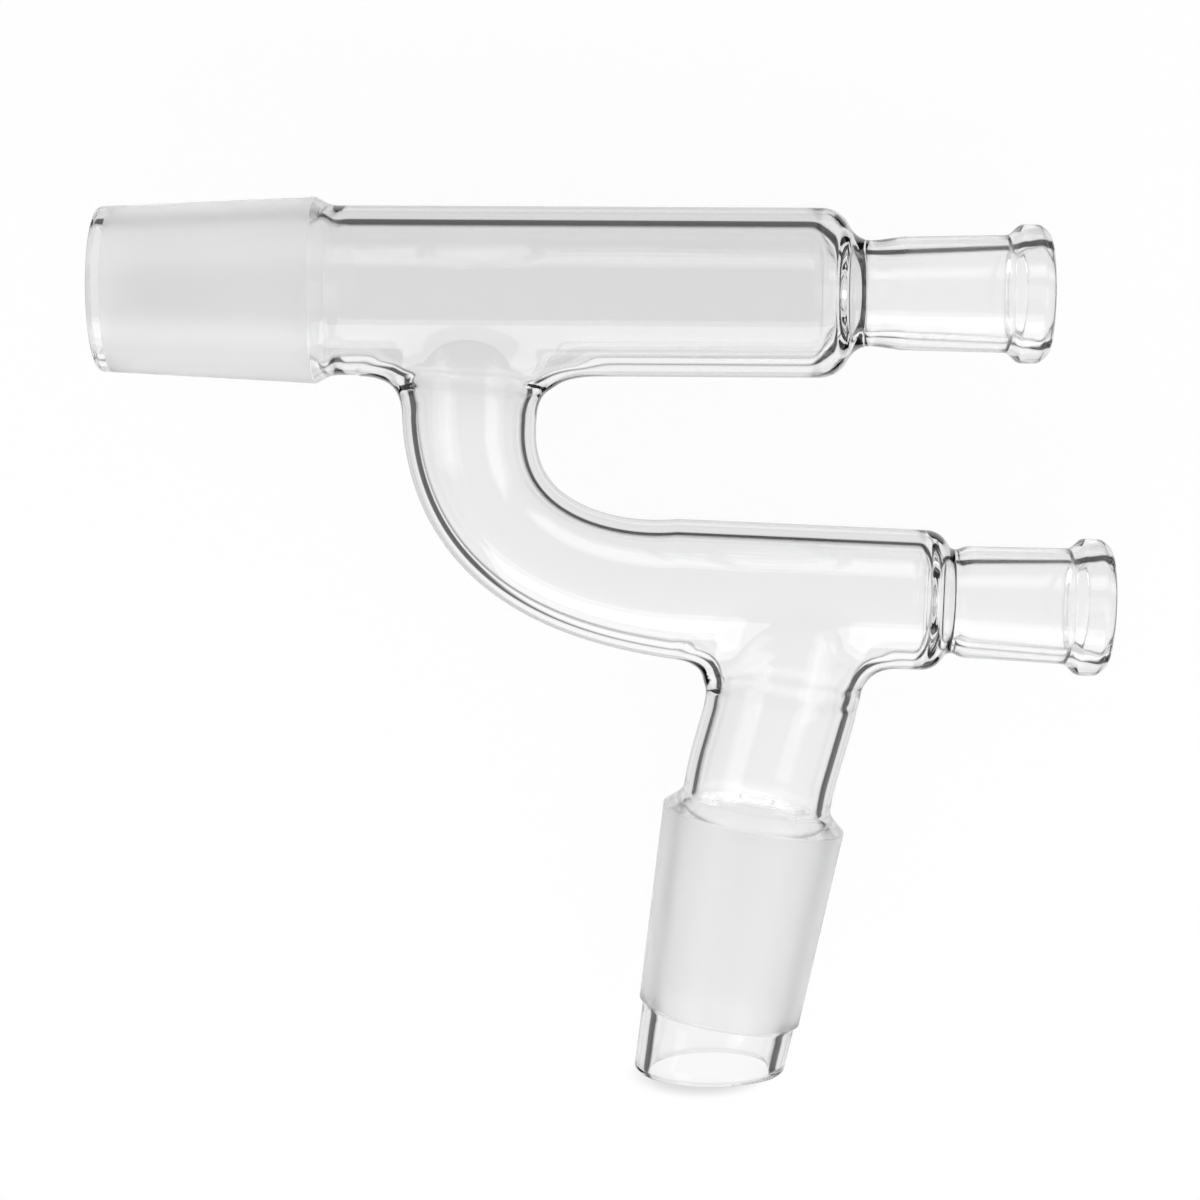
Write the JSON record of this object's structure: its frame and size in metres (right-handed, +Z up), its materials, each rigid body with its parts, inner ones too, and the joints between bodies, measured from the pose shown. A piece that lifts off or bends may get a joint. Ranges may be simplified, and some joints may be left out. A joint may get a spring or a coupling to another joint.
{
  "type": "claisen adapter",
  "caption": "Hollow forked glass connector with two tapered ground cones and two small tapered sockets, lying on its side.",
  "frame": {"origin": "centre of the adapter's footprint as it lies on its side, at the height of the ground it rests on", "axes": "+X along the run from the flask cone to its socket, +Z up from the ground; the side arm points to -Y"},
  "size_m": [0.1602, 0.1428, 0.0305],
  "materials": {
    "clear_glass": "clear blown borosilicate glass, finely ground and matt on the two cones"
  },
  "bodies": {
    "root": {"claisen_adapter": "clear_glass"}
  },
  "joints": []
}
